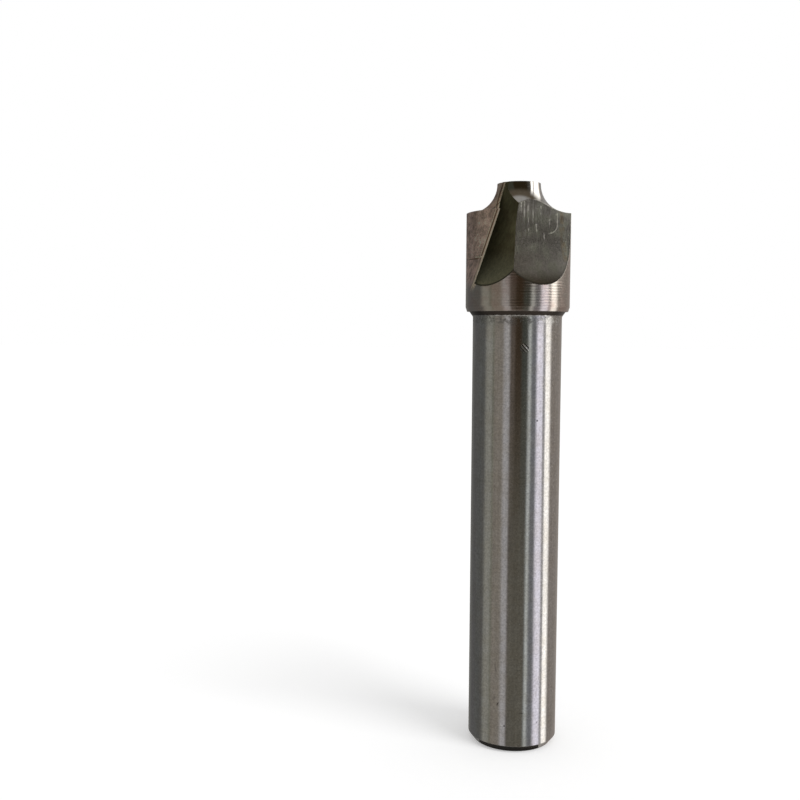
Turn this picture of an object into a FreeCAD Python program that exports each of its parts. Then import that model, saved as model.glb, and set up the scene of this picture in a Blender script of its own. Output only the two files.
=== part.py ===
# Concave milling cutter with two flutes, for rounding the outside edge of a workpiece.
# The tool is one solid bar: a plain round shank, and a larger head whose corner is a
# concave quarter round. Two straight flutes are ground into the head, half a turn apart.
# Millimetres. The origin is the centre of the shank's end face, and +Z points to the tip.
# Directions round the axis are angles from the front (-Y), positive towards +X.
import FreeCAD
import Part
import os
from math import cos, radians, sin, sqrt

# Driving sizes of the tool
SHANK_DIAMETER = 12.0
HEAD_DIAMETER = 14.0
TIP_DIAMETER = 5.8
OVERALL_LENGTH = 76.0
FORM_RADIUS = 4.0
FLUTE_COUNT = 2

# Turned details of the blank
HEAD_START = 58.9
HEAD_EDGE_RADIAL = 0.2
HEAD_EDGE_AXIAL = 0.6
NECK_HEIGHT = 0.85
NECK_BLEND_RADIUS = 0.6
NECK_SLOPE = 36.0
SHANK_CHAMFER_RADIAL = 0.7
SHANK_CHAMFER_AXIAL = 0.9

# Rake face: a flat through the corner of the cutting edge, leaning over along the edge
RAKE_LEAN = 17.3
RAKE_TURN = -0.9
EDGE_CORNER_ANGLE = -26.5

# Each flute is ground by two passes of one wheel. A pass faces one direction round the
# axis. It runs down at a tilt to the axis, from the core that it leaves at the tip, and
# the wheel's rim then curves out of the head at the run-out height.
WHEEL_RADIUS = 18.0
FLOOR_FACING = -45.0
FLOOR_CORE_AT_TIP = 2.8
FLOOR_TILT = 10.2
FLOOR_RUNOUT = 62.13
HEEL_FACING = 20.9
HEEL_CORE_AT_TIP = 3.6
HEEL_TILT = 2.7
HEEL_RUNOUT = 62.25

# Relief behind the cutting edge, deepest in its own direction and fading out beside it
MARGIN_WIDTH = 0.38
RELIEF_DEPTH = 0.17
RELIEF_DIRECTION = -4.0
RELIEF_END_ANGLE = -86.0
RELIEF_START = 65.9

shank_radius = SHANK_DIAMETER / 2
head_radius = HEAD_DIAMETER / 2
tip_radius = TIP_DIAMETER / 2
shoulder = OVERALL_LENGTH - FORM_RADIUS
clear_of_tool = 2 * OVERALL_LENGTH
axis_up = FreeCAD.Vector(0, 0, 1)
origin = FreeCAD.Vector(0, 0, 0)


def facing(angle):
    """Unit vector that points away from the axis, at an angle from the front."""
    return FreeCAD.Vector(sin(radians(angle)), -cos(radians(angle)), 0)


def section_point(radius, height):
    return FreeCAD.Vector(radius, 0, height)


def section_direction(angle):
    """Unit vector in the turning section, at an angle above the outward direction."""
    return section_point(cos(radians(angle)), sin(radians(angle)))


def line(start, end):
    return Part.LineSegment(start, end).toShape()


def arc(centre, radius, first_angle, last_angle):
    """Arc in the turning section between two angles above the outward direction."""
    middle_angle = (first_angle + last_angle) / 2
    points = [centre + section_direction(angle) * radius
              for angle in (first_angle, middle_angle, last_angle)]
    return Part.Arc(*points).toShape()


def turned(shape, angle):
    """The shape turned about the tool's axis."""
    shape.rotate(origin, axis_up, angle)
    return shape


def blank():
    """The bar as turned and ground, before its flutes."""
    shank_end = section_point(0, 0)
    chamfer_inner = section_point(shank_radius - SHANK_CHAMFER_RADIAL, 0)
    chamfer_outer = section_point(shank_radius, SHANK_CHAMFER_AXIAL)
    neck_start = section_point(shank_radius, HEAD_START - NECK_HEIGHT)
    blend_centre = neck_start + section_point(NECK_BLEND_RADIUS, 0)
    neck_blend = arc(blend_centre, NECK_BLEND_RADIUS, 180, 180 - NECK_SLOPE)
    cone_start = neck_blend.Vertexes[-1].Point
    cone_height = HEAD_START - cone_start.z
    cone_growth = cone_height * sin(radians(NECK_SLOPE)) / cos(radians(NECK_SLOPE))
    neck_top = section_point(cone_start.x + cone_growth, HEAD_START)
    edge_inner = section_point(head_radius - HEAD_EDGE_RADIAL, HEAD_START)
    edge_outer = section_point(head_radius, HEAD_START + HEAD_EDGE_AXIAL)
    shoulder_corner = section_point(head_radius, shoulder)
    form_centre = section_point(tip_radius + FORM_RADIUS, OVERALL_LENGTH)
    form_start = form_centre - section_point(0, FORM_RADIUS)
    form_end = section_point(tip_radius, OVERALL_LENGTH)
    tip_centre = section_point(0, OVERALL_LENGTH)
    section = Part.Face(Part.Wire([
        line(shank_end, chamfer_inner),
        line(chamfer_inner, chamfer_outer),
        line(chamfer_outer, neck_start),
        neck_blend,
        line(cone_start, neck_top),
        line(neck_top, edge_inner),
        line(edge_inner, edge_outer),
        line(edge_outer, shoulder_corner),
        line(shoulder_corner, form_start),
        arc(form_centre, FORM_RADIUS, 270, 180),
        line(form_end, tip_centre),
        line(tip_centre, shank_end),
    ]))
    return section.revolve(origin, axis_up, 360)


def half_space(point, normal):
    """A large block on the side of a plane that the normal points to."""
    side = 2 * clear_of_tool
    block = Part.makeBox(side, side, side, FreeCAD.Vector(-side / 2, -side / 2, 0))
    block.Placement = FreeCAD.Placement(point, FreeCAD.Rotation(axis_up, normal))
    return block


def rake_normal():
    """Direction in which the rake face looks: across the front, and down by its lean."""
    across = facing(90 - RAKE_TURN)
    return across * cos(radians(RAKE_LEAN)) - axis_up * sin(radians(RAKE_LEAN))


def edge_corner():
    """The outermost point of the cutting edge, at the shoulder."""
    return facing(EDGE_CORNER_ANGLE) * head_radius + axis_up * shoulder


def wheel_pass(direction, core_at_tip, tilt, runout):
    """Material that one pass of the wheel removes: its section, drawn out sideways."""
    down = section_direction(tilt - 90)
    away = section_direction(tilt)
    start = section_point(core_at_tip, OVERALL_LENGTH)
    to_exit = section_point(head_radius, runout) - start
    rise = to_exit.dot(away)
    travel = to_exit.dot(down) - sqrt(rise * (2 * WHEEL_RADIUS - rise))
    path_end = start + down * travel
    centre = path_end + away * WHEEL_RADIUS
    above_tip = start - down * FORM_RADIUS
    lowest = centre - section_point(0, WHEEL_RADIUS)
    outer_top = section_point(centre.x, above_tip.z)
    section = Part.Face(Part.Wire([
        line(above_tip, path_end),
        arc(centre, WHEEL_RADIUS, 180 + tilt, 270),
        line(lowest, outer_top),
        line(outer_top, above_tip),
    ]))
    section.translate(FreeCAD.Vector(0, -clear_of_tool / 2, 0))
    cut = section.extrude(FreeCAD.Vector(0, clear_of_tool, 0))
    return turned(cut, direction - 90)


def flute():
    """One flute: both wheel passes, up to the rake face."""
    floor = wheel_pass(FLOOR_FACING, FLOOR_CORE_AT_TIP, FLOOR_TILT, FLOOR_RUNOUT)
    heel = wheel_pass(HEEL_FACING, HEEL_CORE_AT_TIP, HEEL_TILT, HEEL_RUNOUT)
    return floor.fuse(heel).common(half_space(edge_corner(), rake_normal()))


def relief():
    """Thin layer ground off the land behind the margin, with the blank set off centre."""
    normal = rake_normal()
    offset = facing(RELIEF_DIRECTION) * -RELIEF_DEPTH
    behind_margin = half_space(edge_corner() - normal * MARGIN_WIDTH, -normal)
    above_start = half_space(axis_up * RELIEF_START, axis_up)
    near_side = half_space(origin, facing(RELIEF_END_ANGLE + 90))
    return behind_margin.common(above_start).common(near_side).cut(blank().translated(offset))


def cutter_body():
    body = blank()
    for index in range(FLUTE_COUNT):
        angle = index * 360 / FLUTE_COUNT
        body = body.cut(turned(flute(), angle)).cut(turned(relief(), angle))
    return body.removeSplitter()


body = cutter_body()
os.makedirs("parts", exist_ok=True)
body.exportStep("parts/cutter_body.step")
print("solids", len(body.Solids), "valid", body.isValid(), "faces", len(body.Faces))
print("volume", round(body.Volume, 1))
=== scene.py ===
import math

import bpy
from mathutils import Matrix, Vector

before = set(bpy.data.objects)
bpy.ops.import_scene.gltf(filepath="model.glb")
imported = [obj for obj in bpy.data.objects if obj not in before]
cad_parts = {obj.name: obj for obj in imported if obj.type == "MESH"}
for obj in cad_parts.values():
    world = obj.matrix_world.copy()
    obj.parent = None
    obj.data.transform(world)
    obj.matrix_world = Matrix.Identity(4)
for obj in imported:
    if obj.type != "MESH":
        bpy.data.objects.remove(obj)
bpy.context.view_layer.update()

MM = 0.001
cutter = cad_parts["cutter_body"]

# Camera, fitted to the photo: its place, how far it looks down and its small roll in radians,
# and the distances that it sees in metres
IMAGE_WIDTH = 800
SENSOR_WIDTH_MM = 36.0
FOCAL_LENGTH_PX = 989.73
CAMERA_PLACE_MM = (-15.826, -134.647, 56.333)
CAMERA_PITCH = 0.070415
CAMERA_ROLL = 0.005798
CAMERA_SEES_FROM = 0.005
CAMERA_SEES_TO = 50.0

# Sizes of the tool that its surfaces are told apart by, in millimetres and degrees
SHANK_RADIUS = 6.0
CHAMFER_TOP = 0.9
NECK_DARK_FROM = 58.38
HEAD_START = 58.9
HEAD_EDGE_TOP = 59.5
HEAD_RADIUS = 7.0
SHOULDER = 72.0
LENGTH = 76.0
RELIEF_START = 65.9
RAKE_LEAN = 17.3
RAKE_AZIMUTH = 90.9
EDGE_CORNER_AZIMUTH = -26.5
FLOOR_AZIMUTH = -45.0
HEEL_AZIMUTH = 20.9

# Studio seen in the steel: (from azimuth, to azimuth, colour of light) all round the tool
STUDIO_LOW = (
    (-180, -156, (0.20, 0.20, 0.19)),
    (-146, -128, (0.16, 0.16, 0.16)),
    (-119, -97, (0.165, 0.17, 0.165)),
    (-88, -72, (0.41, 0.41, 0.37)),
    (-69, -67, (0.28, 0.28, 0.23)),
    (-64, -43, (0.36, 0.33, 0.29)),
    (-36, -26, (0.60, 0.59, 0.60)),
    (-21, -14, (0.16, 0.13, 0.11)),
    (-8, 4, (0.070, 0.048, 0.030)),
    (9, 20, (0.090, 0.098, 0.085)),
    (26, 29, (0.80, 0.84, 0.83)),
    (34, 43, (0.27, 0.28, 0.30)),
    (49, 63, (1.45, 1.42, 1.60)),
    (66, 71, (0.52, 0.51, 0.52)),
    (74, 86, (2.20, 2.15, 2.08)),
    (94, 180, (0.40, 0.36, 0.33)),
)
STUDIO_HIGH = (
    (-180, -130, (0.12, 0.12, 0.11)),
    (-120, -50, (0.075, 0.078, 0.058)),
    (-40, 26, (0.040, 0.029, 0.015)),
    (34, 49, (0.10, 0.095, 0.08)),
    (54, 65, (3.2, 3.2, 3.1)),
    (68, 71, (0.5, 0.5, 0.5)),
    (74, 105, (3.3, 3.3, 3.15)),
    (120, 150, (0.45, 0.44, 0.42)),
    (160, 180, (0.25, 0.24, 0.22)),
)
STUDIO_TOP = (0.175, 0.145, 0.105)
STUDIO_ZENITH = (0.55, 0.54, 0.52)
STUDIO_BOUNCE = (0.19, 0.18, 0.15)
STUDIO_UNDER = (0.70, 0.69, 0.66)

# Elevations, in degrees, at which one part of the studio gives way to the next
HIGH_STARTS_AT = 3.0
HIGH_IS_FULL_AT = 7.5
TOP_STARTS_AT = 32.0
TOP_IS_FULL_AT = 56.0
ZENITH_STARTS_AT = 60.0
ZENITH_IS_FULL_AT = 75.0
BOUNCE_STARTS_AT = 1.0
BOUNCE_IS_FULL_AT = -17.0
BOUNCE_ENDS_FROM = -27.0
BOUNCE_ENDS_AT = -34.0
UNDER_STARTS_AT = -38.0
UNDER_IS_FULL_AT = -50.0

# Azimuths between which the bounce from the table comes in
BOUNCE_FROM_AZIMUTH = -112.0
BOUNCE_WHOLE_AZIMUTH = -84.0

# Degrees that the strips turn by from the horizon to straight up. The low ones turn only on
# the right, between these azimuths and beyond.
HIGH_TURN = 20.0
LOW_TURN = 12.0
LOW_TURN_FROM_AZIMUTH = 30.0
LOW_TURN_WHOLE_AZIMUTH = 60.0

# Light on the tool, and the floor. Angles are in degrees and the floor is in metres.
SKY_FOR_DIFFUSE = 0.66
LAMP_STRENGTH = 1.1
LAMP_SPREAD = 28.0
LAMP_AZIMUTH = 52.0
LAMP_ELEVATION = 50.0
FLOOR_SIZE = 6.0
FLOOR_COLOUR = (0.80, 0.80, 0.80, 1.0)
FLOOR_WHITE_LIFT = 0.30
# Dark card on the floor in front of the end chamfer: radii in millimetres, azimuths in degrees
CARD_INNER = 4.9
CARD_OUTER = 6.0
CARD_FROM = -62.0
CARD_TO = 37.0
CARD_STEPS = 24
CARD_COLOUR = (0.10, 0.098, 0.09, 1.0)


def around(azimuth, elevation=0.0):
    """Unit vector at an azimuth and an elevation, both in degrees."""
    turn = math.radians(azimuth)
    rise = math.radians(elevation)
    return Vector((math.sin(turn) * math.cos(rise), -math.cos(turn) * math.cos(rise),
                   math.sin(rise)))


rake_normal = around(RAKE_AZIMUTH, -RAKE_LEAN)
edge_corner = around(EDGE_CORNER_AZIMUTH) * HEAD_RADIUS + Vector((0, 0, SHOULDER))


# Nodes

def add(tree, kind, inputs=(), **settings):
    """A node with its settings made and its inputs set or linked."""
    made = tree.nodes.new(kind)
    for name, value in settings.items():
        setattr(made, name, value)
    for key, value in dict(inputs).items():
        if isinstance(value, bpy.types.NodeSocket):
            tree.links.new(value, made.inputs[key])
        else:
            made.inputs[key].default_value = value
    return made


def calc(tree, operation, first, second=0.0, third=0.0):
    """Result of one sum. Each value is a socket or a plain number."""
    made = add(tree, "ShaderNodeMath", operation=operation)
    for socket, value in zip(made.inputs, (first, second, third)):
        if isinstance(value, bpy.types.NodeSocket):
            tree.links.new(value, socket)
        else:
            socket.default_value = value
    return made.outputs[0]


def dot(tree, vector, direction):
    """How far a vector reaches along a direction."""
    made = add(tree, "ShaderNodeVectorMath", {0: vector, 1: tuple(direction)},
               operation="DOT_PRODUCT")
    return made.outputs["Value"]


def fade(tree, value, start, end, low=0.0, high=1.0):
    """Goes smoothly from low at start to high at end."""
    made = add(tree, "ShaderNodeMapRange",
               {"Value": value, "From Min": start, "From Max": end,
                "To Min": low, "To Max": high},
               interpolation_type="SMOOTHSTEP")
    return made.outputs["Result"]


def blend(tree, share, first, second, blend_type="MIX"):
    """Mix of two colours. Each is a socket or a plain (r, g, b)."""
    made = add(tree, "ShaderNodeMix", data_type="RGBA", blend_type=blend_type)
    for socket, value in ((made.inputs[0], share), (made.inputs[6], first),
                          (made.inputs[7], second)):
        if isinstance(value, bpy.types.NodeSocket):
            tree.links.new(value, socket)
        elif isinstance(value, (int, float)):
            socket.default_value = value
        else:
            socket.default_value = (*value, 1.0)
    return made.outputs[2]


def noise(tree, vector, scale, detail=2.0, roughness=0.5):
    """Smooth noise from 0 to 1, about 0.5."""
    made = add(tree, "ShaderNodeTexNoise",
               {"Vector": vector, "Scale": scale, "Detail": detail,
                "Roughness": roughness})
    return made.outputs["Fac"]


def place_mm(tree):
    """The point on the tool in millimetres."""
    coordinates = add(tree, "ShaderNodeTexCoord")
    scaled = add(tree, "ShaderNodeVectorMath", {0: coordinates.outputs["Object"], "Scale": 1 / MM},
                 operation="SCALE")
    return scaled.outputs[0]


def grain_space(tree, place, axes):
    """Coordinates along three directions, each stretched by its own number per millimetre."""
    parts = [calc(tree, "MULTIPLY", dot(tree, place, direction), frequency)
             for direction, frequency in axes]
    return add(tree, "ShaderNodeCombineXYZ", dict(enumerate(parts))).outputs[0]


def band(tree, value, middle, half_width, softness=0.4):
    """1 at a value, and 0 beyond a distance from it."""
    away = calc(tree, "ABSOLUTE", calc(tree, "SUBTRACT", value, middle))
    return fade(tree, away, half_width, half_width * softness)


# Steel surfaces

AXIS = Vector((0, 0, 1))
SIDE = Vector((1, 0, 0))
DEEP = Vector((0, 1, 0))
STREAK_AXES = ((SIDE, 2.6), (DEEP, 2.6), (AXIS, 0.10))
EDGE_LINE = Vector((math.sin(math.radians(RAKE_LEAN)), 0, math.cos(math.radians(RAKE_LEAN))))
LAND_AXES = ((rake_normal, 4.0), (DEEP, 0.8), (EDGE_LINE, 0.7))
LEVEL_AXES = ((SIDE, 1.0), (DEEP, 1.0), (AXIS, 0.0))

# What all the steels share. Sizes of stains and clouds are in millimetres. Each pair gives the
# values of a texture, or of the turn at an edge, between which a mark comes in.
FINE_GRAIN = 3.1
STAIN_SIZE = 2.6
STAIN_LIMITS = (0.38, 0.66)
STAIN_ROUGHNESS = 0.05
CLOUD_SIZE = 0.45
EDGE_SAMPLES = 4
EDGE_LIMITS = (0.985, 0.80)
WEAR_LIMITS = (0.35, 0.60)
FINE_RELIEF = 0.4
LINE_RELIEF = 0.6


def cut_axes(azimuth, lean, across, along):
    """Grain of a ground flat: its lines lean from upright by an angle in the flat's plane."""
    level = around(azimuth + 90)
    tilt = math.radians(lean)
    line = AXIS * math.cos(tilt) + level * math.sin(tilt)
    cross = level * math.cos(tilt) - AXIS * math.sin(tilt)
    return ((cross, across), (line, along), (around(azimuth), across))


def lay_over(tree, look, share, **targets):
    """Takes the colour, shade, gloss or relief of a look towards a target, by a share."""
    for part, target in targets.items():
        if part == "base":
            look[part] = blend(tree, share, look[part], target)
        else:
            change = calc(tree, "SUBTRACT", target, look[part])
            look[part] = calc(tree, "MULTIPLY_ADD", change, share, look[part])


def steel(name, colour, tint, tint_share, roughness, axes, grain=0.10, height=0.0010,
          mottle=0.08, mottle_size=1.6, uneven=0.10, streaks=0.0, ripple=0.0,
          metallic=1.0, edge_radius=0.055, edge_light=0.25, marks=()):
    """Ground steel: a colour with stains of a tint, grain lines, uneven gloss and worn edges."""
    material = bpy.data.materials.new(name)
    material.use_nodes = True
    tree = material.node_tree
    tree.nodes.clear()
    place = place_mm(tree)
    finer_axes = [(direction, frequency * FINE_GRAIN) for direction, frequency in axes]
    lines = noise(tree, grain_space(tree, place, axes), 1.0, detail=3.0, roughness=0.6)
    fine = noise(tree, grain_space(tree, place, finer_axes), 1.0, detail=2.0)
    stains = noise(tree, place, 1 / (STAIN_SIZE * mottle_size), detail=3.0, roughness=0.55)
    clouds = noise(tree, place, 1 / (CLOUD_SIZE * mottle_size), detail=4.0, roughness=0.65)

    def swing(texture, amount):
        return calc(tree, "MULTIPLY_ADD", calc(tree, "SUBTRACT", texture, 0.5), 2 * amount, 1.0)

    stain_share = calc(tree, "MULTIPLY", fade(tree, stains, *STAIN_LIMITS), tint_share)
    shade = calc(tree, "MULTIPLY", swing(lines, grain), swing(clouds, mottle))
    if streaks:
        long_lines = noise(tree, grain_space(tree, place, STREAK_AXES), 1.0, detail=3.0,
                           roughness=0.6)
        shade = calc(tree, "MULTIPLY", shade, swing(long_lines, streaks))

    rounded = add(tree, "ShaderNodeBevel", {"Radius": edge_radius * MM},
                  samples=EDGE_SAMPLES)
    flat = add(tree, "ShaderNodeNewGeometry").outputs["Normal"]
    turn = add(tree, "ShaderNodeVectorMath", {0: rounded.outputs[0], 1: flat},
               operation="DOT_PRODUCT").outputs["Value"]
    worn = calc(tree, "MULTIPLY", fade(tree, turn, *EDGE_LIMITS),
                fade(tree, clouds, *WEAR_LIMITS))
    shade = calc(tree, "MULTIPLY", shade, calc(tree, "MULTIPLY_ADD", worn, edge_light, 1.0))

    gloss = calc(tree, "MULTIPLY_ADD", calc(tree, "SUBTRACT", fine, 0.5), uneven, roughness)
    gloss = calc(tree, "MULTIPLY_ADD", stain_share, STAIN_ROUGHNESS, gloss)
    relief = calc(tree, "MULTIPLY_ADD", fine, FINE_RELIEF, calc(tree, "MULTIPLY", lines, LINE_RELIEF))
    relief = calc(tree, "MULTIPLY_ADD", clouds, ripple, relief)
    look = {"base": blend(tree, stain_share, colour, tint),
            "shade": shade, "gloss": gloss, "relief": relief}
    for mark in marks:
        mark(tree, place, look)

    grey = add(tree, "ShaderNodeCombineColor", {channel: look["shade"] for channel in range(3)})
    shaded = blend(tree, 1.0, look["base"], grey.outputs[0], "MULTIPLY")
    bump = add(tree, "ShaderNodeBump",
               {"Strength": 1.0, "Distance": height * MM, "Height": look["relief"],
                "Normal": rounded.outputs[0]})
    shader = add(tree, "ShaderNodeBsdfPrincipled",
                 {"Base Color": shaded, "Metallic": metallic, "Roughness": look["gloss"],
                  "Normal": bump.outputs[0]})
    add(tree, "ShaderNodeOutputMaterial", {"Surface": shader.outputs[0]})
    return material


def on_shank(azimuth, height):
    """Point on the shank's surface."""
    return around(azimuth) * SHANK_RADIUS + AXIS * height


def distance_in(tree, place, axes, spot):
    """Distance from a spot, in coordinates that are stretched along each axis."""
    there = tuple(spot.dot(direction) * frequency for direction, frequency in axes)
    away = add(tree, "ShaderNodeVectorMath", {0: grain_space(tree, place, axes), 1: there},
               operation="DISTANCE")
    return away.outputs["Value"]


# Small marks on the shank: (azimuth, height, half length, half width, lean, shade change)
SHANK_MARKS = (
    (20.8, 44.6, 0.17, 0.17, 0, -0.75),
    (-25.2, 6.55, 0.42, 0.13, 25, -0.60),
    (-15.9, 3.65, 0.18, 0.15, 0, -0.75),
    (-19.8, 3.70, 0.42, 0.09, 90, 0.30),
    (4.8, 5.45, 0.45, 0.09, 90, -0.40),
    (27.4, 4.00, 0.24, 0.14, 40, -0.55),
    (0.7, 11.30, 0.50, 0.08, 90, -0.30),
    (-28.8, 11.40, 0.80, 0.16, -15, -0.22),
    (-30.5, 7.20, 0.45, 0.18, 30, -0.25),
    (-42.0, 46.0, 0.60, 0.12, 8, -0.25),
    (62.0, 30.0, 0.55, 0.10, 20, -0.35),
    (118.0, 22.0, 0.50, 0.10, -30, -0.35),
    (171.0, 39.0, 0.60, 0.12, 35, -0.35),
    (-140.0, 17.0, 0.45, 0.14, -12, -0.35),
)
NICK_AZIMUTH = 2.6
NICK_HEIGHT = 54.10
NICK_SIZE = 0.66
NICK_LEAN = 42.0
# Strokes across the nick, painted glint and shade of the dent: (distance from its middle, strength),
# dark below 0
NICK_STROKES = ((-0.50, -0.4), (-0.27, -0.6), (-0.12, 0.3), (0.07, -0.9), (0.24, 3.0), (0.42, -1.0))
NICK_STROKE_WIDTH = 0.11
NICK_STROKE_CORE = 0.02
NICK_SHADE = -0.12
NICK_ROUGHNESS = 0.18
# Shares of their reach within which the nick and the marks are whole
NICK_CORE = 0.75
MARK_CORE = 0.35
MARK_RELIEF = 6.0
DARKEST_MARK = 0.12
# Stain below the head, which comes in between two heights, in patches
STAINED_END_HEIGHTS = (56.7, 57.8)
STAINED_END_PATCHES = 1.7
STAINED_END_LIMITS = (0.40, 0.62)
STAINED_END_SHADE = -0.30
STAINED_END_ROUGHNESS = 0.22


def shank_marks(tree, place, look):
    """Small marks, the nick with strokes of painted glint and shade across it, and the stained end
    below the head.
    """
    marks = 0.0
    for azimuth, height, half_length, half_width, lean, change in SHANK_MARKS:
        axes = cut_axes(azimuth, lean, 1 / half_width, 1 / half_length)
        away = distance_in(tree, place, axes, on_shank(azimuth, height))
        marks = calc(tree, "MULTIPLY_ADD", fade(tree, away, 1.0, MARK_CORE), change, marks)

    axes = cut_axes(NICK_AZIMUTH, -NICK_LEAN, 1.0, 1.0)
    spot = on_shank(NICK_AZIMUTH, NICK_HEIGHT)
    nick = fade(tree, distance_in(tree, place, axes, spot), NICK_SIZE, NICK_SIZE * NICK_CORE)
    across = axes[0][0]
    offset = calc(tree, "SUBTRACT", dot(tree, place, across), spot.dot(across))
    # Painted glint and shade across the nick
    strokes = NICK_SHADE
    for middle, strength in NICK_STROKES:
        away = calc(tree, "ABSOLUTE", calc(tree, "SUBTRACT", offset, middle))
        stroke = fade(tree, away, NICK_STROKE_WIDTH, NICK_STROKE_CORE)
        strokes = calc(tree, "MULTIPLY_ADD", stroke, strength, strokes)
    marks = calc(tree, "MULTIPLY_ADD", strokes, nick, marks)
    marked = calc(tree, "ADD", look["shade"], marks)
    look["shade"] = calc(tree, "MAXIMUM", marked, DARKEST_MARK)
    look["relief"] = calc(tree, "MULTIPLY_ADD", marks, MARK_RELIEF, look["relief"])
    look["gloss"] = calc(tree, "MULTIPLY_ADD", nick, NICK_ROUGHNESS, look["gloss"])

    height = dot(tree, place, AXIS)
    patches = noise(tree, place, STAINED_END_PATCHES, detail=4.0, roughness=0.65)
    stained = calc(tree, "MULTIPLY",
                   fade(tree, height, *STAINED_END_HEIGHTS),
                   fade(tree, patches, *STAINED_END_LIMITS))
    darker = calc(tree, "MULTIPLY_ADD", stained, STAINED_END_SHADE, 1.0)
    look["shade"] = calc(tree, "MULTIPLY", look["shade"], darker)
    look["gloss"] = calc(tree, "MULTIPLY_ADD", stained, STAINED_END_ROUGHNESS, look["gloss"])


# Rings on the head. They are deepest a little right of the middle, and shallow elsewhere.
TURNED_PITCH = 0.36
RINGS_UNEVEN_AXES = ((SIDE, 0.3), (DEEP, 0.3), (AXIS, 0.9))
RINGS_SHIFT = 2.0
RINGS_LIMITS = (0.40, 0.64)
RINGS_FAINTEST = 0.10
DEEP_RINGS_AT = 1.4
DEEP_RINGS_REACH = 4.4
SHALLOW_RINGS = 0.25
RINGS_SHADE = 0.18
RINGS_ROUGHNESS = 0.04
RINGS_RELIEF = 1.9


def turned_rings(tree, place, look):
    """Rings left by the lathe on the head, uneven in depth round it and along it."""
    height = dot(tree, place, AXIS)
    uneven = noise(tree, grain_space(tree, place, RINGS_UNEVEN_AXES), 1.0)
    phase = calc(tree, "MULTIPLY", height, 2 * math.pi / TURNED_PITCH)
    wave = calc(tree, "SINE", calc(tree, "MULTIPLY_ADD", uneven, RINGS_SHIFT, phase))
    wave = calc(tree, "MULTIPLY", wave, fade(tree, uneven, *RINGS_LIMITS, RINGS_FAINTEST, 1.0))
    deeper = band(tree, dot(tree, place, SIDE), DEEP_RINGS_AT, DEEP_RINGS_REACH, softness=0.5)
    depth = calc(tree, "MULTIPLY_ADD", deeper, 1 - SHALLOW_RINGS, SHALLOW_RINGS)
    wave = calc(tree, "MULTIPLY", wave, depth)
    ringed = calc(tree, "MULTIPLY_ADD", wave, RINGS_SHADE, 1.0)
    look["shade"] = calc(tree, "MULTIPLY", look["shade"], ringed)
    look["gloss"] = calc(tree, "MULTIPLY_ADD", wave, RINGS_ROUGHNESS, look["gloss"])
    look["relief"] = calc(tree, "MULTIPLY_ADD", wave, RINGS_RELIEF, look["relief"])


# Ground margin along both cutting edges, its light colour partly painted sheen, with a painted shadow
# line and a painted highlight line behind it. Distances are behind the edge, in millimetres.
PAINTED_HIGHLIGHT_STEEL = (0.93, 0.80, 0.66)
PAINTED_SHADOW_STEEL = (0.30, 0.19, 0.14)
MARGIN_ROUGHNESS = 0.52
MARGIN_WIDTH = 0.20
MARGIN_SOFTNESS = 0.04
MARGIN_FRONT = (-0.30, -0.15)
# Painted shadow line and painted highlight line behind the margin: middles and half widths
SHADOW_LINE_MIDDLE = 0.29
SHADOW_LINE_WIDTH = 0.10
HIGHLIGHT_LINE_MIDDLE = 0.43
HIGHLIGHT_LINE_WIDTH = 0.07
# Distances from the middle plane between which the marks of one half come in
HALF_STARTS = (0.2, 0.6)
# Lower step of the relief: a painted highlight line with a painted shadow line below it, both over
# part of the land
STEP_BLEND = 0.8
STEP_LIGHT_RISE = 0.05
STEP_LIGHT_WIDTH = 0.13
STEP_LIGHT_BEHIND = 0.50
STEP_LIGHT_REACH = 0.50
STEP_DARK_DROP = 0.15
STEP_DARK_WIDTH = 0.10
STEP_DARK_BEHIND = 1.00
STEP_DARK_REACH = 0.70
# Heights between which the margin comes in, and those where the land's grinding fades out
MARGIN_STARTS = (61.3, 62.4)
LAND_FADES = (61.6, 63.6)
LAND_STEEL = (0.95, 0.71, 0.63)
LAND_STREAK_STEEL = (0.45, 0.34, 0.30)
LAND_ROUGHNESS = 0.38
LAND_STARTS_BEHIND = 0.15
LAND_STREAK_LIMITS = (0.35, 0.65)


def behind_edge(tree, place):
    """Distance behind the cutting edge of this half of the tool, and 1 well inside that half."""
    depth = dot(tree, place, DEEP)
    half = calc(tree, "SIGN", calc(tree, "MULTIPLY", depth, -1.0))
    level = calc(tree, "MULTIPLY", dot(tree, place, (rake_normal.x, rake_normal.y, 0)), half)
    upright = dot(tree, place, AXIS * rake_normal.z)
    behind = calc(tree, "SUBTRACT", edge_corner.dot(rake_normal), calc(tree, "ADD", level, upright))
    return behind, fade(tree, calc(tree, "ABSOLUTE", depth), *HALF_STARTS)


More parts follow.
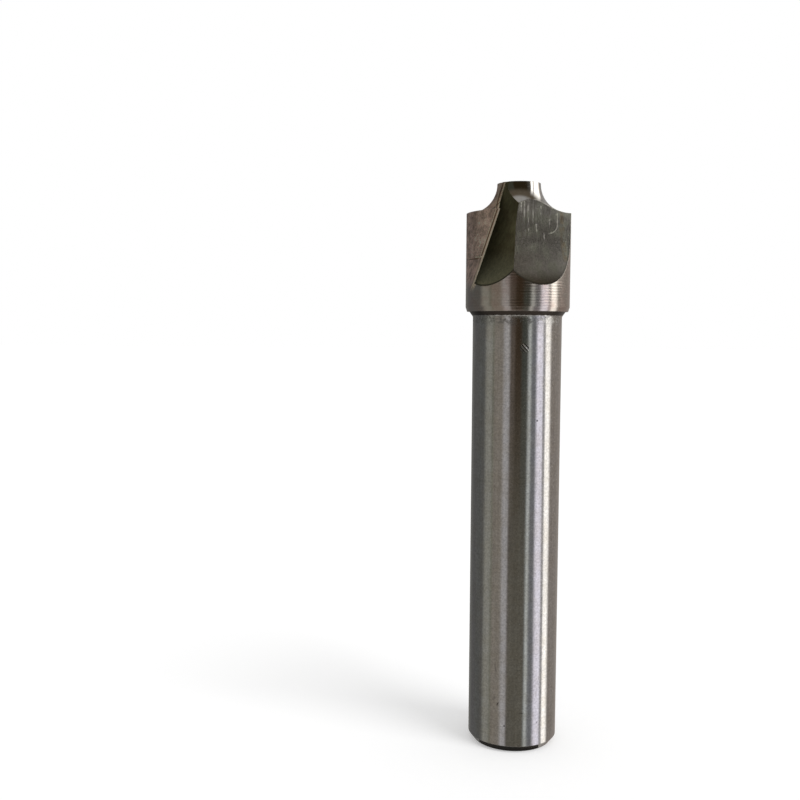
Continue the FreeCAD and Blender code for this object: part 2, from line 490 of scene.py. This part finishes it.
def margin_marks(tree, place, look):
    """The margin with its painted sheen, the painted shadow line and highlight line behind it, and
    the painted highlight and shadow at the relief's lower step.
    """
    behind, inside = behind_edge(tree, place)
    height = dot(tree, place, AXIS)
    inside = calc(tree, "MULTIPLY", inside, fade(tree, height, *MARGIN_STARTS))
    # The margin is a real ground land; its light colour is partly painted sheen
    margin = calc(tree, "MULTIPLY",
                  fade(tree, behind, MARGIN_WIDTH + MARGIN_SOFTNESS, MARGIN_WIDTH - MARGIN_SOFTNESS),
                  fade(tree, behind, *MARGIN_FRONT))
    above_step = fade(tree, height, RELIEF_START - STEP_BLEND, RELIEF_START + STEP_BLEND)
    # Painted shadow line behind the margin, and a painted highlight line behind that
    shadow_line = calc(tree, "MULTIPLY", band(tree, behind, SHADOW_LINE_MIDDLE, SHADOW_LINE_WIDTH), above_step)
    highlight_line = calc(tree, "MULTIPLY", band(tree, behind, HIGHLIGHT_LINE_MIDDLE, HIGHLIGHT_LINE_WIDTH), above_step)
    # Painted highlight on the relief's lower step, and painted shadow below it
    step_light = calc(tree, "MULTIPLY",
                      band(tree, height, RELIEF_START + STEP_LIGHT_RISE, STEP_LIGHT_WIDTH),
                      band(tree, behind, STEP_LIGHT_BEHIND, STEP_LIGHT_REACH, softness=0.7))
    step_dark = calc(tree, "MULTIPLY",
                     band(tree, height, RELIEF_START - STEP_DARK_DROP, STEP_DARK_WIDTH),
                     band(tree, behind, STEP_DARK_BEHIND, STEP_DARK_REACH, softness=0.5))
    for part, colour in ((shadow_line, PAINTED_SHADOW_STEEL), (highlight_line, PAINTED_HIGHLIGHT_STEEL),
                         (step_dark, PAINTED_SHADOW_STEEL), (step_light, PAINTED_HIGHLIGHT_STEEL)):
        lay_over(tree, look, calc(tree, "MULTIPLY", part, inside), base=colour)
    lay_over(tree, look, calc(tree, "MULTIPLY", margin, inside),
             base=PAINTED_HIGHLIGHT_STEEL, gloss=MARGIN_ROUGHNESS)


def land_below_step(tree, place, look):
    """The land's grinding runs on below the relief's step, and fades out towards the neck."""
    behind, inside = behind_edge(tree, place)
    height = dot(tree, place, AXIS)
    share = calc(tree, "MULTIPLY", inside, fade(tree, behind, 0.0, LAND_STARTS_BEHIND))
    share = calc(tree, "MULTIPLY", share, fade(tree, height, *LAND_FADES))
    streaky = noise(tree, grain_space(tree, place, LAND_AXES), 1.0, detail=3.0)
    colour = blend(tree, fade(tree, streaky, *LAND_STREAK_LIMITS), LAND_STEEL, LAND_STREAK_STEEL)
    lay_over(tree, look, share, base=colour, gloss=LAND_ROUGHNESS)


# Light wheel lines down the upper part of the heel flat: (across, upper end, lower end)
WHEEL_LINES = (
    (-1.60, 73.6, 71.6),
    (-1.15, 73.6, 70.8),
    (-0.60, 73.5, 68.6),
    (0.12, 73.3, 70.2),
    (0.55, 70.6, 68.9),
    (1.30, 73.0, 71.2),
    (1.60, 69.4, 67.7),
    (2.55, 71.6, 69.8),
)
WHEEL_LINE_WIDTH = 0.15
WHEEL_LINE_FADES_BELOW = 0.8
WHEEL_LINE_FADES_ABOVE = 0.3
# Breaks in the lines: the texture, its limits, and what is left of a line in a break
LINE_BREAKS = 3.2
LINE_BREAK_LIMITS = (0.42, 0.58)
LINE_IN_BREAKS = 0.10
# The scratch is part of a circle below its height, and upright above it
SCRATCH_ACROSS = 3.75
SCRATCH_HEIGHT = 70.5
SCRATCH_BEND = 1.3
SCRATCH_WIDTH = 0.11
SCRATCH_TOP = 72.0
SCRATCH_TOP_FADE = 0.3
SCRATCH_ENDS = (-0.35, 0.3)
SCRATCH_IN_BREAKS = 0.6
HEEL_LINE_SHADE = 0.30
HEEL_LINE_ROUGHNESS = 0.08
# Painted shade on the heel flat: darker to the right and downwards. The flat is also lighter in its
# upper left corner
HEEL_ACROSS = (-1.5, 2.0)
HEEL_RIGHT_SHADE = 0.76
HEEL_HEIGHTS = (63.8, 68.5)
HEEL_LOW_SHADE = 0.47
LIGHT_CORNER_HEIGHTS = (71.0, 73.6)
LIGHT_CORNER_ACROSS = (0.4, -1.2)
LIGHT_CORNER_SHADE = 0.22
HEEL_STAIN = (0.40, 0.32, 0.22)
HEEL_STAIN_ACROSS = 4.35
HEEL_STAIN_WIDTH = 0.55
HEEL_STAIN_PATCHES = 1.3
HEEL_STAIN_LIMITS = (0.40, 0.60)
HEEL_STAIN_SHARE = 0.6
# The dark rim comes in between two radii and two heights, and the lighter floor between two heights
RIM_RADII = (6.78, 6.92)
RIM_HEIGHTS = (71.0, 67.0)
RIM_SHADE = 0.30
LIGHTER_FLOOR_HEIGHTS = (67.5, 63.2)
LIGHTER_FLOOR_STEEL = (0.185, 0.18, 0.115)


def dark_rim(tree, place, look):
    """Burr and shade along the rounded lower end of a wheel cut, where it leaves the head."""
    flat_place = grain_space(tree, place, LEVEL_AXES)
    radius = add(tree, "ShaderNodeVectorMath", {0: flat_place}, operation="LENGTH")
    rim = fade(tree, radius.outputs["Value"], *RIM_RADII)
    below = fade(tree, dot(tree, place, AXIS), *RIM_HEIGHTS)
    lay_over(tree, look, calc(tree, "MULTIPLY", rim, below), shade=RIM_SHADE)


def floor_marks(tree, place, look):
    """The flute floor is lighter near its lower end."""
    lighter_end = fade(tree, dot(tree, place, AXIS), *LIGHTER_FLOOR_HEIGHTS)
    lay_over(tree, look, lighter_end, base=LIGHTER_FLOOR_STEEL)


def wheel_lines(tree, across, height):
    """1 on the light lines that the wheel left down the heel flat."""
    lines = 0.0
    for offset, top, bottom in WHEEL_LINES:
        ends = calc(tree, "MULTIPLY", fade(tree, height, bottom, bottom + WHEEL_LINE_FADES_BELOW),
                    fade(tree, height, top, top - WHEEL_LINE_FADES_ABOVE))
        middle = band(tree, across, offset, WHEEL_LINE_WIDTH, softness=0.1)
        line = calc(tree, "MULTIPLY", middle, ends)
        lines = calc(tree, "MAXIMUM", lines, line)
    return lines


def hooked_scratch(tree, across, height):
    """1 on the scratch that runs down the right of the heel flat and hooks to the left."""
    right = calc(tree, "SUBTRACT", across, SCRATCH_ACROSS - SCRATCH_BEND)
    down = calc(tree, "MINIMUM", calc(tree, "SUBTRACT", height, SCRATCH_HEIGHT), 0.0)
    squares = calc(tree, "MULTIPLY_ADD", right, right, calc(tree, "MULTIPLY", down, down))
    hook = band(tree, calc(tree, "SQRT", squares), SCRATCH_BEND, SCRATCH_WIDTH)
    hook = calc(tree, "MULTIPLY", hook, fade(tree, right, *SCRATCH_ENDS))
    return calc(tree, "MULTIPLY", hook,
                fade(tree, height, SCRATCH_TOP, SCRATCH_TOP - SCRATCH_TOP_FADE))


def heel_marks(tree, place, look):
    """Soft wheel lines, a hooked scratch, painted shade that darkens the flat to the right and
    downwards, a lighter upper left corner, and a brown stain on the right.
    """
    across = dot(tree, place, around(HEEL_AZIMUTH + 90))
    height = dot(tree, place, AXIS)
    breaks = noise(tree, place, LINE_BREAKS, detail=3.0)
    broken = fade(tree, breaks, *LINE_BREAK_LIMITS, LINE_IN_BREAKS, 1.0)
    lines = calc(tree, "MULTIPLY", wheel_lines(tree, across, height), broken)
    hook = hooked_scratch(tree, across, height)
    marks = calc(tree, "MAXIMUM", lines, calc(tree, "MULTIPLY", hook, broken))
    marks = calc(tree, "MAXIMUM", marks, calc(tree, "MULTIPLY", hook, SCRATCH_IN_BREAKS))

    # Painted shade, darker to the right and downwards
    darker = calc(tree, "MULTIPLY",
                  fade(tree, across, *HEEL_ACROSS, 1.0, HEEL_RIGHT_SHADE),
                  fade(tree, height, *HEEL_HEIGHTS, HEEL_LOW_SHADE, 1.0))
    look["shade"] = calc(tree, "MULTIPLY", look["shade"], darker)
    corner = calc(tree, "MULTIPLY", fade(tree, height, *LIGHT_CORNER_HEIGHTS),
                  fade(tree, across, *LIGHT_CORNER_ACROSS))
    look["shade"] = calc(tree, "MULTIPLY_ADD", corner, LIGHT_CORNER_SHADE, look["shade"])
    look["shade"] = calc(tree, "MULTIPLY_ADD", marks, HEEL_LINE_SHADE, look["shade"])
    look["gloss"] = calc(tree, "MULTIPLY_ADD", marks, HEEL_LINE_ROUGHNESS, look["gloss"])
    patches = noise(tree, place, HEEL_STAIN_PATCHES, detail=3.0)
    stain = calc(tree, "MULTIPLY",
                 band(tree, across, HEEL_STAIN_ACROSS, HEEL_STAIN_WIDTH, softness=0.2),
                 fade(tree, patches, *HEEL_STAIN_LIMITS))
    lay_over(tree, look, calc(tree, "MULTIPLY", stain, HEEL_STAIN_SHARE), base=HEEL_STAIN)


# The look of each surface of the tool

STEEL = (0.44, 0.43, 0.42)
BROWN_STEEL = (0.40, 0.34, 0.30)
HEAD_STEEL = (0.42, 0.385, 0.35)
ROSE_STEEL = (0.42, 0.345, 0.31)
GREEN_STEEL = (0.36, 0.36, 0.30)

RING_AXES = ((SIDE, 0.5), (DEEP, 0.5), (AXIS, 9.0))
SHANK_AXES = ((SIDE, 0.7), (DEEP, 0.7), (AXIS, 4.0))
SURFACES = {
    "shank": dict(colour=STEEL, tint=(0.40, 0.38, 0.35), tint_share=0.6, roughness=0.10,
                  axes=SHANK_AXES, grain=0.14, height=0.0007, mottle=0.50, mottle_size=0.6,
                  uneven=0.08, streaks=0.22, ripple=1.8, marks=(shank_marks,)),
    # The end chamfer's darker steel is painted shade, where it faces down to the floor
    "end": dict(colour=(0.24, 0.23, 0.22), tint=BROWN_STEEL, tint_share=0.5, roughness=0.24,
                axes=((SIDE, 3.0), (DEEP, 3.0), (AXIS, 6.0))),
    # The neck's near-black steel is painted shade under the head
    "neck": dict(colour=(0.035, 0.028, 0.024), tint=(0.06, 0.048, 0.04), tint_share=0.6,
                 roughness=0.34, axes=((SIDE, 1.0), (DEEP, 1.0), (AXIS, 12.0)), grain=0.15),
    "turned_head": dict(colour=HEAD_STEEL, tint=ROSE_STEEL, tint_share=0.8, roughness=0.13,
                        axes=RING_AXES, grain=0.08, height=0.0012, mottle=0.25, mottle_size=0.6,
                        marks=(turned_rings, land_below_step, margin_marks)),
    "relieved_land": dict(colour=LAND_STEEL, tint=(0.50, 0.38, 0.33), tint_share=0.9,
                          roughness=LAND_ROUGHNESS, uneven=0.25, axes=LAND_AXES, grain=0.60,
                          height=0.004, mottle=0.90, mottle_size=0.45, marks=(margin_marks,)),
    "form": dict(colour=STEEL, tint=BROWN_STEEL, tint_share=0.6, roughness=0.10,
                 axes=((SIDE, 2.0), (DEEP, 2.0), (AXIS, 2.0)), grain=0.08, mottle=0.15,
                 height=0.0004, uneven=0.06, marks=(margin_marks,)),
    "rake": dict(colour=(0.38, 0.37, 0.35), tint=BROWN_STEEL, tint_share=0.4, roughness=0.40,
                 axes=((DEEP, 0.7), (AXIS, 6.0), (SIDE, 2.0)), grain=0.12),
    # The flute floor's very dark steel is partly painted shade, where it faces away from the light
    "flute_floor": dict(colour=(0.105, 0.098, 0.050), tint=(0.075, 0.062, 0.030), tint_share=0.7,
                        roughness=0.38, axes=cut_axes(FLOOR_AZIMUTH, lean=18, across=5.0, along=0.5),
                        grain=0.50, height=0.002, mottle=0.35, mottle_size=0.5,
                        metallic=0.70, marks=(floor_marks, dark_rim)),
    "heel_flat": dict(colour=(0.42, 0.395, 0.37), tint=GREEN_STEEL, tint_share=0.8, roughness=0.14,
                      axes=cut_axes(HEEL_AZIMUTH, lean=0, across=4.5, along=0.35),
                      grain=0.30, height=0.0008, mottle=0.36, mottle_size=0.5,
                      uneven=0.08, edge_radius=0.12, edge_light=0.45,
                      marks=(heel_marks, dark_rim)),
    "tip": dict(colour=STEEL, tint=BROWN_STEEL, tint_share=0.5, roughness=0.26,
                axes=((SIDE, 4.0), (DEEP, 1.0), (AXIS, 1.0))),
}


# How closely a face has to fit a surface to belong to it. Lengths are in millimetres.
CUT_FITS = 0.004
RAKE_FITS = 0.999
TIP_FITS = 0.99
TURNED_FITS = 0.98
TURNED_RADIUS_FITS = 0.012
HEIGHT_FITS = 0.01
CLEAR_BY = 0.02
SMALLEST_RADIUS = 1e-6


def faces_a_cut(normal, azimuth):
    """Whether a face belongs to a wheel pass, whose faces all run sideways to its azimuth."""
    return abs(normal.dot(around(azimuth + 90))) < CUT_FITS and normal.dot(around(azimuth)) > 0


def fluted_surface(normal, radius):
    """Name of the flute's surface that a face belongs to, if it does, in either flute."""
    for half_turn in (0, 180):
        turned = Matrix.Rotation(math.radians(half_turn), 3, "Z") @ normal
        if turned.dot(rake_normal) > RAKE_FITS:
            return "rake"
        if faces_a_cut(turned, FLOOR_AZIMUTH) and radius < HEAD_RADIUS - CLEAR_BY:
            return "flute_floor"
        if faces_a_cut(turned, HEEL_AZIMUTH) and radius < HEAD_RADIUS - CLEAR_BY:
            return "heel_flat"
    return None


def surface_of(centre, normal):
    """Name of the surface that a face of the CAD body belongs to."""
    radius = math.hypot(centre.x, centre.y)
    outward = (normal.x * centre.x + normal.y * centre.y) / max(radius, SMALLEST_RADIUS)
    height = centre.z
    if height < CHAMFER_TOP:
        return "end"
    if height < NECK_DARK_FROM:
        return "shank"
    if height < HEAD_START + CLEAR_BY:
        return "neck"
    if normal.z > TIP_FITS and height > LENGTH - HEIGHT_FITS:
        return "tip"
    fluted = fluted_surface(normal, radius)
    if fluted:
        return fluted
    if height > SHOULDER:
        half = 1 if centre.y < 0 else -1
        turned = Vector((centre.x * half, centre.y * half, centre.z))
        behind = turned.dot(rake_normal) < edge_corner.dot(rake_normal)
        return "relieved_land" if behind else "form"
    if outward > TURNED_FITS and abs(radius - HEAD_RADIUS) < TURNED_RADIUS_FITS:
        return "turned_head"
    if height < HEAD_EDGE_TOP:
        return "turned_head"
    return "relieved_land"


def dress_cutter():
    """Gives each surface of the tool its own steel."""
    mesh = cutter.data
    mesh.materials.clear()
    slots = {}
    for name, look in SURFACES.items():
        slots[name] = len(mesh.materials)
        mesh.materials.append(steel(name, **look))
    for face in mesh.polygons:
        face.material_index = slots[surface_of(face.center / MM, face.normal)]


# Stage

def turn_share(azimuth):
    """An azimuth as a share of the turn from the back round, 0 to 1."""
    return (azimuth + 180) / 360


def azimuth_ramp(tree, share, strips):
    """Colour of the studio by azimuth, given as a share of the turn."""
    made = add(tree, "ShaderNodeValToRGB", {"Fac": share})
    ramp = made.color_ramp
    stops = []
    for start, end, colour in strips:
        stops += [(turn_share(start), colour), (turn_share(end), colour)]
    while len(ramp.elements) < len(stops):
        ramp.elements.new(0.5)
    for element, (position, colour) in zip(ramp.elements, stops):
        element.position = position
    for element, (position, colour) in zip(ramp.elements, stops):
        element.color = (*colour, 1.0)
    return made.outputs["Color"]


def climb(tree, rise, start, end):
    """0 at one elevation and 1 at another, both in degrees. Rise is the sine of the elevation."""
    return fade(tree, rise, math.sin(math.radians(start)), math.sin(math.radians(end)))


def studio_strips(tree, share, rise):
    """Cards and flags round the tool: the low ones, and the high ones above them."""
    low_turn = fade(tree, share, turn_share(LOW_TURN_FROM_AZIMUTH),
                    turn_share(LOW_TURN_WHOLE_AZIMUTH), 0.0, LOW_TURN / 360)
    low_share = calc(tree, "MULTIPLY_ADD", rise, low_turn, share)
    high_share = calc(tree, "MULTIPLY_ADD", rise, -HIGH_TURN / 360, share)
    low = azimuth_ramp(tree, low_share, STUDIO_LOW)
    high = azimuth_ramp(tree, high_share, STUDIO_HIGH)
    return blend(tree, climb(tree, rise, HIGH_STARTS_AT, HIGH_IS_FULL_AT), low, high)


def studio(tree, share, rise):
    """Colour of the whole studio: the strips, the top and zenith, and the table's light below."""
    seen = studio_strips(tree, share, rise)
    top = climb(tree, rise, TOP_STARTS_AT, TOP_IS_FULL_AT)
    seen = blend(tree, top, seen, STUDIO_TOP)
    zenith = climb(tree, rise, ZENITH_STARTS_AT, ZENITH_IS_FULL_AT)
    seen = blend(tree, zenith, seen, STUDIO_ZENITH)
    bounce = calc(tree, "MULTIPLY", climb(tree, rise, BOUNCE_STARTS_AT, BOUNCE_IS_FULL_AT),
                  climb(tree, rise, BOUNCE_ENDS_AT, BOUNCE_ENDS_FROM))
    bounce = calc(tree, "MULTIPLY", bounce, fade(tree, share, turn_share(BOUNCE_FROM_AZIMUTH),
                                                 turn_share(BOUNCE_WHOLE_AZIMUTH)))
    seen = blend(tree, bounce, seen, STUDIO_BOUNCE, "LIGHTEN")
    under = climb(tree, rise, UNDER_STARTS_AT, UNDER_IS_FULL_AT)
    return blend(tree, under, seen, STUDIO_UNDER)


def make_world():
    """White round the object, even light on it, and the studio in its reflections."""
    world = bpy.data.worlds.new("studio")
    world.use_nodes = True
    world.cycles.sampling_method = "NONE"
    bpy.context.scene.world = world
    tree = world.node_tree
    tree.nodes.clear()
    direction = add(tree, "ShaderNodeTexCoord").outputs["Generated"]
    split = add(tree, "ShaderNodeSeparateXYZ", {0: direction})
    toward = calc(tree, "MULTIPLY", split.outputs["Y"], -1.0)
    azimuth = calc(tree, "ARCTAN2", split.outputs["X"], toward)
    share = calc(tree, "MULTIPLY_ADD", azimuth, 1 / (2 * math.pi), 0.5)
    seen = studio(tree, share, split.outputs["Z"])
    path = add(tree, "ShaderNodeLightPath")
    plain = (SKY_FOR_DIFFUSE,) * 3
    colour = blend(tree, path.outputs["Is Glossy Ray"], plain, seen)
    white = calc(tree, "MAXIMUM", path.outputs["Is Camera Ray"], path.outputs["Is Transmission Ray"])
    colour = blend(tree, white, colour, (1.0, 1.0, 1.0))
    background = add(tree, "ShaderNodeBackground", {"Color": colour, "Strength": 1.0})
    add(tree, "ShaderNodeOutputWorld", {"Surface": background.outputs[0]})


def make_floor():
    """Pale floor that keeps the shadow and is white to the camera."""
    mesh = bpy.data.meshes.new("floor")
    half = FLOOR_SIZE / 2
    mesh.from_pydata([(-half, -half, 0), (half, -half, 0), (half, half, 0), (-half, half, 0)],
                     [], [(0, 1, 2, 3)])
    floor = bpy.data.objects.new("floor", mesh)
    bpy.context.scene.collection.objects.link(floor)
    material = bpy.data.materials.new("floor")
    material.use_nodes = True
    tree = material.node_tree
    tree.nodes.clear()
    path = add(tree, "ShaderNodeLightPath")
    seen = calc(tree, "MAXIMUM", path.outputs["Is Camera Ray"], path.outputs["Is Transmission Ray"])
    lift = calc(tree, "MULTIPLY", seen, FLOOR_WHITE_LIFT)
    surface = add(tree, "ShaderNodeBsdfDiffuse", {"Color": FLOOR_COLOUR})
    glow = add(tree, "ShaderNodeEmission", {"Color": (1.0, 1.0, 1.0, 1.0), "Strength": lift})
    both = add(tree, "ShaderNodeAddShader", {0: surface.outputs[0], 1: glow.outputs[0]})
    add(tree, "ShaderNodeOutputMaterial", {"Surface": both.outputs[0]})
    mesh.materials.append(material)
    floor.visible_glossy = False


def make_contact_card():
    """Dark arc on the floor, which only the steel sees: the shade in front of the end chamfer."""
    mesh = bpy.data.meshes.new("contact_card")
    turns = [CARD_FROM + (CARD_TO - CARD_FROM) * step / CARD_STEPS for step in range(CARD_STEPS + 1)]
    outer = [tuple(around(turn) * CARD_OUTER * MM) for turn in turns]
    inner = [tuple(around(turn) * CARD_INNER * MM) for turn in reversed(turns)]
    mesh.from_pydata(outer + inner, [], [tuple(range(2 * len(turns)))])
    card = bpy.data.objects.new("contact_card", mesh)
    bpy.context.scene.collection.objects.link(card)
    material = bpy.data.materials.new("contact_card")
    material.use_nodes = True
    tree = material.node_tree
    tree.nodes.clear()
    surface = add(tree, "ShaderNodeBsdfDiffuse", {"Color": CARD_COLOUR})
    add(tree, "ShaderNodeOutputMaterial", {"Surface": surface.outputs[0]})
    mesh.materials.append(material)
    card.visible_camera = False
    card.visible_diffuse = False
    card.visible_shadow = False
    card.visible_transmission = False


def make_lamp():
    """One large soft lamp, far off on the right, for the shadow on the floor."""
    data = bpy.data.lights.new("soft_lamp", "SUN")
    data.energy = LAMP_STRENGTH
    data.angle = math.radians(LAMP_SPREAD)
    lamp = bpy.data.objects.new("soft_lamp", data)
    bpy.context.scene.collection.objects.link(lamp)
    lamp.location = around(LAMP_AZIMUTH, LAMP_ELEVATION)
    lamp.rotation_mode = "QUATERNION"
    lamp.rotation_quaternion = (-lamp.location).to_track_quat("-Z", "Y")
    lamp.visible_glossy = False


def make_camera():
    """Camera at the photo's viewpoint."""
    data = bpy.data.cameras.new("camera")
    data.sensor_width = SENSOR_WIDTH_MM
    data.lens = SENSOR_WIDTH_MM * FOCAL_LENGTH_PX / IMAGE_WIDTH
    data.clip_start = CAMERA_SEES_FROM
    data.clip_end = CAMERA_SEES_TO
    camera = bpy.data.objects.new("camera", data)
    bpy.context.scene.collection.objects.link(camera)
    forward = Vector((0, math.cos(CAMERA_PITCH), -math.sin(CAMERA_PITCH)))
    level_up = SIDE.cross(forward)
    right = SIDE * math.cos(CAMERA_ROLL) + level_up * math.sin(CAMERA_ROLL)
    up = right.cross(forward)
    turn = Matrix((right, up, -forward)).transposed()
    camera.matrix_world = Matrix.Translation(Vector(CAMERA_PLACE_MM) * MM) @ turn.to_4x4()
    bpy.context.scene.camera = camera


bpy.context.scene.view_settings.view_transform = "Standard"
make_camera()
make_world()
make_floor()
make_contact_card()
make_lamp()
dress_cutter()
